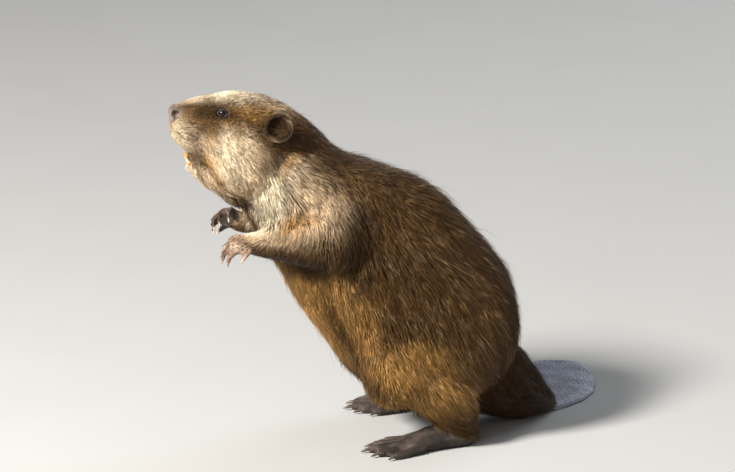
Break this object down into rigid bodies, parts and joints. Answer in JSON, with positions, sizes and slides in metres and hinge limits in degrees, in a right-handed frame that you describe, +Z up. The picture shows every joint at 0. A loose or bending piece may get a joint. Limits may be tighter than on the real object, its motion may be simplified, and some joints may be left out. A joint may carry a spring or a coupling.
{
  "type": "beaver",
  "caption": "Beaver standing upright on its hind feet, forepaws held before its chest and its flat scaly tail on the ground.",
  "frame": {"origin": "on the ground, under the middle of the bounding box", "axes": "+Z up; the beaver faces -X with its left side towards -Y; the tail's paddle lies towards +Y"},
  "size_m": [0.6242, 0.4384, 0.4634],
  "materials": {
    "pale_coat": "pale tan fur of the head",
    "coat": "brown fur with lighter tips",
    "dark_coat": "dark brown fur of the ears, shanks and tail base",
    "nose_skin": "bare damp pinkish grey skin",
    "hand_skin": "bare pinkish brown skin of the hands and feet",
    "tail_skin": "slate grey scaly skin",
    "eye": "wet, nearly black",
    "claw": "horn",
    "upper_tooth": "orange enamel",
    "lower_tooth": "pale yellow enamel"
  },
  "bodies": {
    "root": {"belly": "coat", "chest": "coat", "ear_left": "dark_coat", "ear_right": "dark_coat", "eye_left": "eye", "eye_right": "eye", "foot_left": "hand_skin", "foot_right": "hand_skin", "forearm_left": "coat", "forearm_right": "coat", "front_claw_left_1": "claw", "front_claw_left_2": "claw", "front_claw_left_3": "claw", "front_claw_left_4": "claw", "front_claw_left_5": "claw", "front_claw_right_1": "claw", "front_claw_right_2": "claw", "front_claw_right_3": "claw", "front_claw_right_4": "claw", "front_claw_right_5": "claw", "hand_left": "hand_skin", "hand_right": "hand_skin", "head": "pale_coat", "hind_claw_left_1": "claw", "hind_claw_left_2": "claw", "hind_claw_left_3": "claw", "hind_claw_left_4": "claw", "hind_claw_left_5": "claw", "hind_claw_right_1": "claw", "hind_claw_right_2": "claw", "hind_claw_right_3": "claw", "hind_claw_right_4": "claw", "hind_claw_right_5": "claw", "lower_incisor_left": "lower_tooth", "lower_incisor_right": "lower_tooth", "lower_jaw": "pale_coat", "neck": "coat", "nose": "nose_skin", "rump": "coat", "shank_left": "dark_coat", "shank_right": "dark_coat", "tail_base": "dark_coat", "tail_paddle": "tail_skin", "thigh_left": "coat", "thigh_right": "coat", "upper_arm_left": "coat", "upper_arm_right": "coat", "upper_incisor_left": "upper_tooth", "upper_incisor_right": "upper_tooth"}
  },
  "joints": []
}
